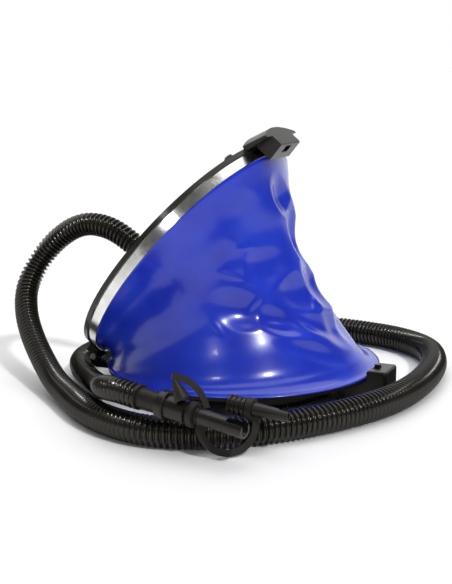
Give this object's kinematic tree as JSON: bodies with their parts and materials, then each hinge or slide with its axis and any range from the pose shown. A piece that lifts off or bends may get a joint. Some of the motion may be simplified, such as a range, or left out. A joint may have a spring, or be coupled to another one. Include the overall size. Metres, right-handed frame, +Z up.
{
  "type": "bellows foot pump",
  "caption": "Foot-operated bellows air pump with a hinged round tread plate, a catch that keeps it closed, a corrugated hose and a strap with nozzles.",
  "frame": {"origin": "centre of the base disc, on the floor that the pump stands on", "axes": "+Z up, +X from the hinge towards the catch, +Y along the hinge; tread plate open at rest"},
  "size_m": [0.4112, 0.4208, 0.2369],
  "materials": {
    "black_plastic": "moulded satin black plastic with a fine grain",
    "steel_band": "bright bare steel strip",
    "plated_steel": "zinc-plated steel",
    "spring_steel": "drawn spring wire",
    "blue_vinyl": "soft glossy royal blue vinyl, buckled",
    "rubber": "matte black rubber",
    "hose_plastic": "glossy black corrugated hose",
    "valve_rubber": "soft dark rubber"
  },
  "bodies": {
    "base": {"base_plate": "black_plastic", "front_foot": "black_plastic", "foot_screws": "plated_steel", "rubber_feet": "rubber", "bellows_ring": "plated_steel", "ring_screws": "plated_steel", "hinge_pins": "plated_steel", "catch_block": "black_plastic", "catch_screws": "plated_steel", "latch_spring": "spring_steel", "intake_cage": "black_plastic", "lower_spring_seat": "black_plastic", "bellows": "blue_vinyl", "return_spring": "spring_steel", "hose_arc": "hose_plastic", "hose_floor": "hose_plastic", "hose_end": "hose_plastic", "hose_end_cuff": "rubber", "nozzle_adapter": "black_plastic", "main_nozzle": "black_plastic", "nozzle_strap": "rubber", "strap_plug": "rubber", "second_nozzle": "black_plastic"},
    "tread": {"top_plate": "black_plastic", "rim_screws": "plated_steel", "top_band": "steel_band", "band_lock": "steel_band", "band_screw": "plated_steel", "foot_tread": "rubber", "hook_block": "black_plastic", "foot_pad": "black_plastic", "hook_screws": "plated_steel", "upper_spring_seat": "black_plastic", "hose_socket": "black_plastic", "socket_screws": "plated_steel", "outlet_spring": "spring_steel", "hose_pump_cuff": "rubber"},
    "latch_button": {"latch_button": "black_plastic"},
    "intake_valve": {"intake_disc": "valve_rubber"},
    "outlet_valve": {"outlet_disc": "valve_rubber"}
  },
  "joints": [
    {"name": "plate_hinge", "type": "hinge", "parent": "base", "child": "tread", "pos_m": [-0.127, 0, 0.027], "axis": [0, 1, 0], "range_deg": [0, 46.9], "stiffness_Nm_per_rad": 6, "springref_deg": -51.57, "deforming": ["bellows", "return_spring", "hose_arc"]},
    {"name": "button_slide", "type": "slide", "parent": "base", "child": "latch_button", "axis": [0, -1, 0], "range_m": [0, 0.0035], "stiffness_N_per_m": 400, "springref_m": -0.001, "deforming": ["latch_spring"]},
    {"name": "intake_lift", "type": "slide", "parent": "base", "child": "intake_valve", "axis": [0, 0, 1], "range_m": [0, 0.003]},
    {"name": "outlet_lift", "type": "slide", "parent": "tread", "child": "outlet_valve", "axis": [-0.7694, 0, 0.6388], "range_m": [0, 0.0025], "stiffness_N_per_m": 20, "springref_m": -0.001, "deforming": ["outlet_spring"]}
  ]
}
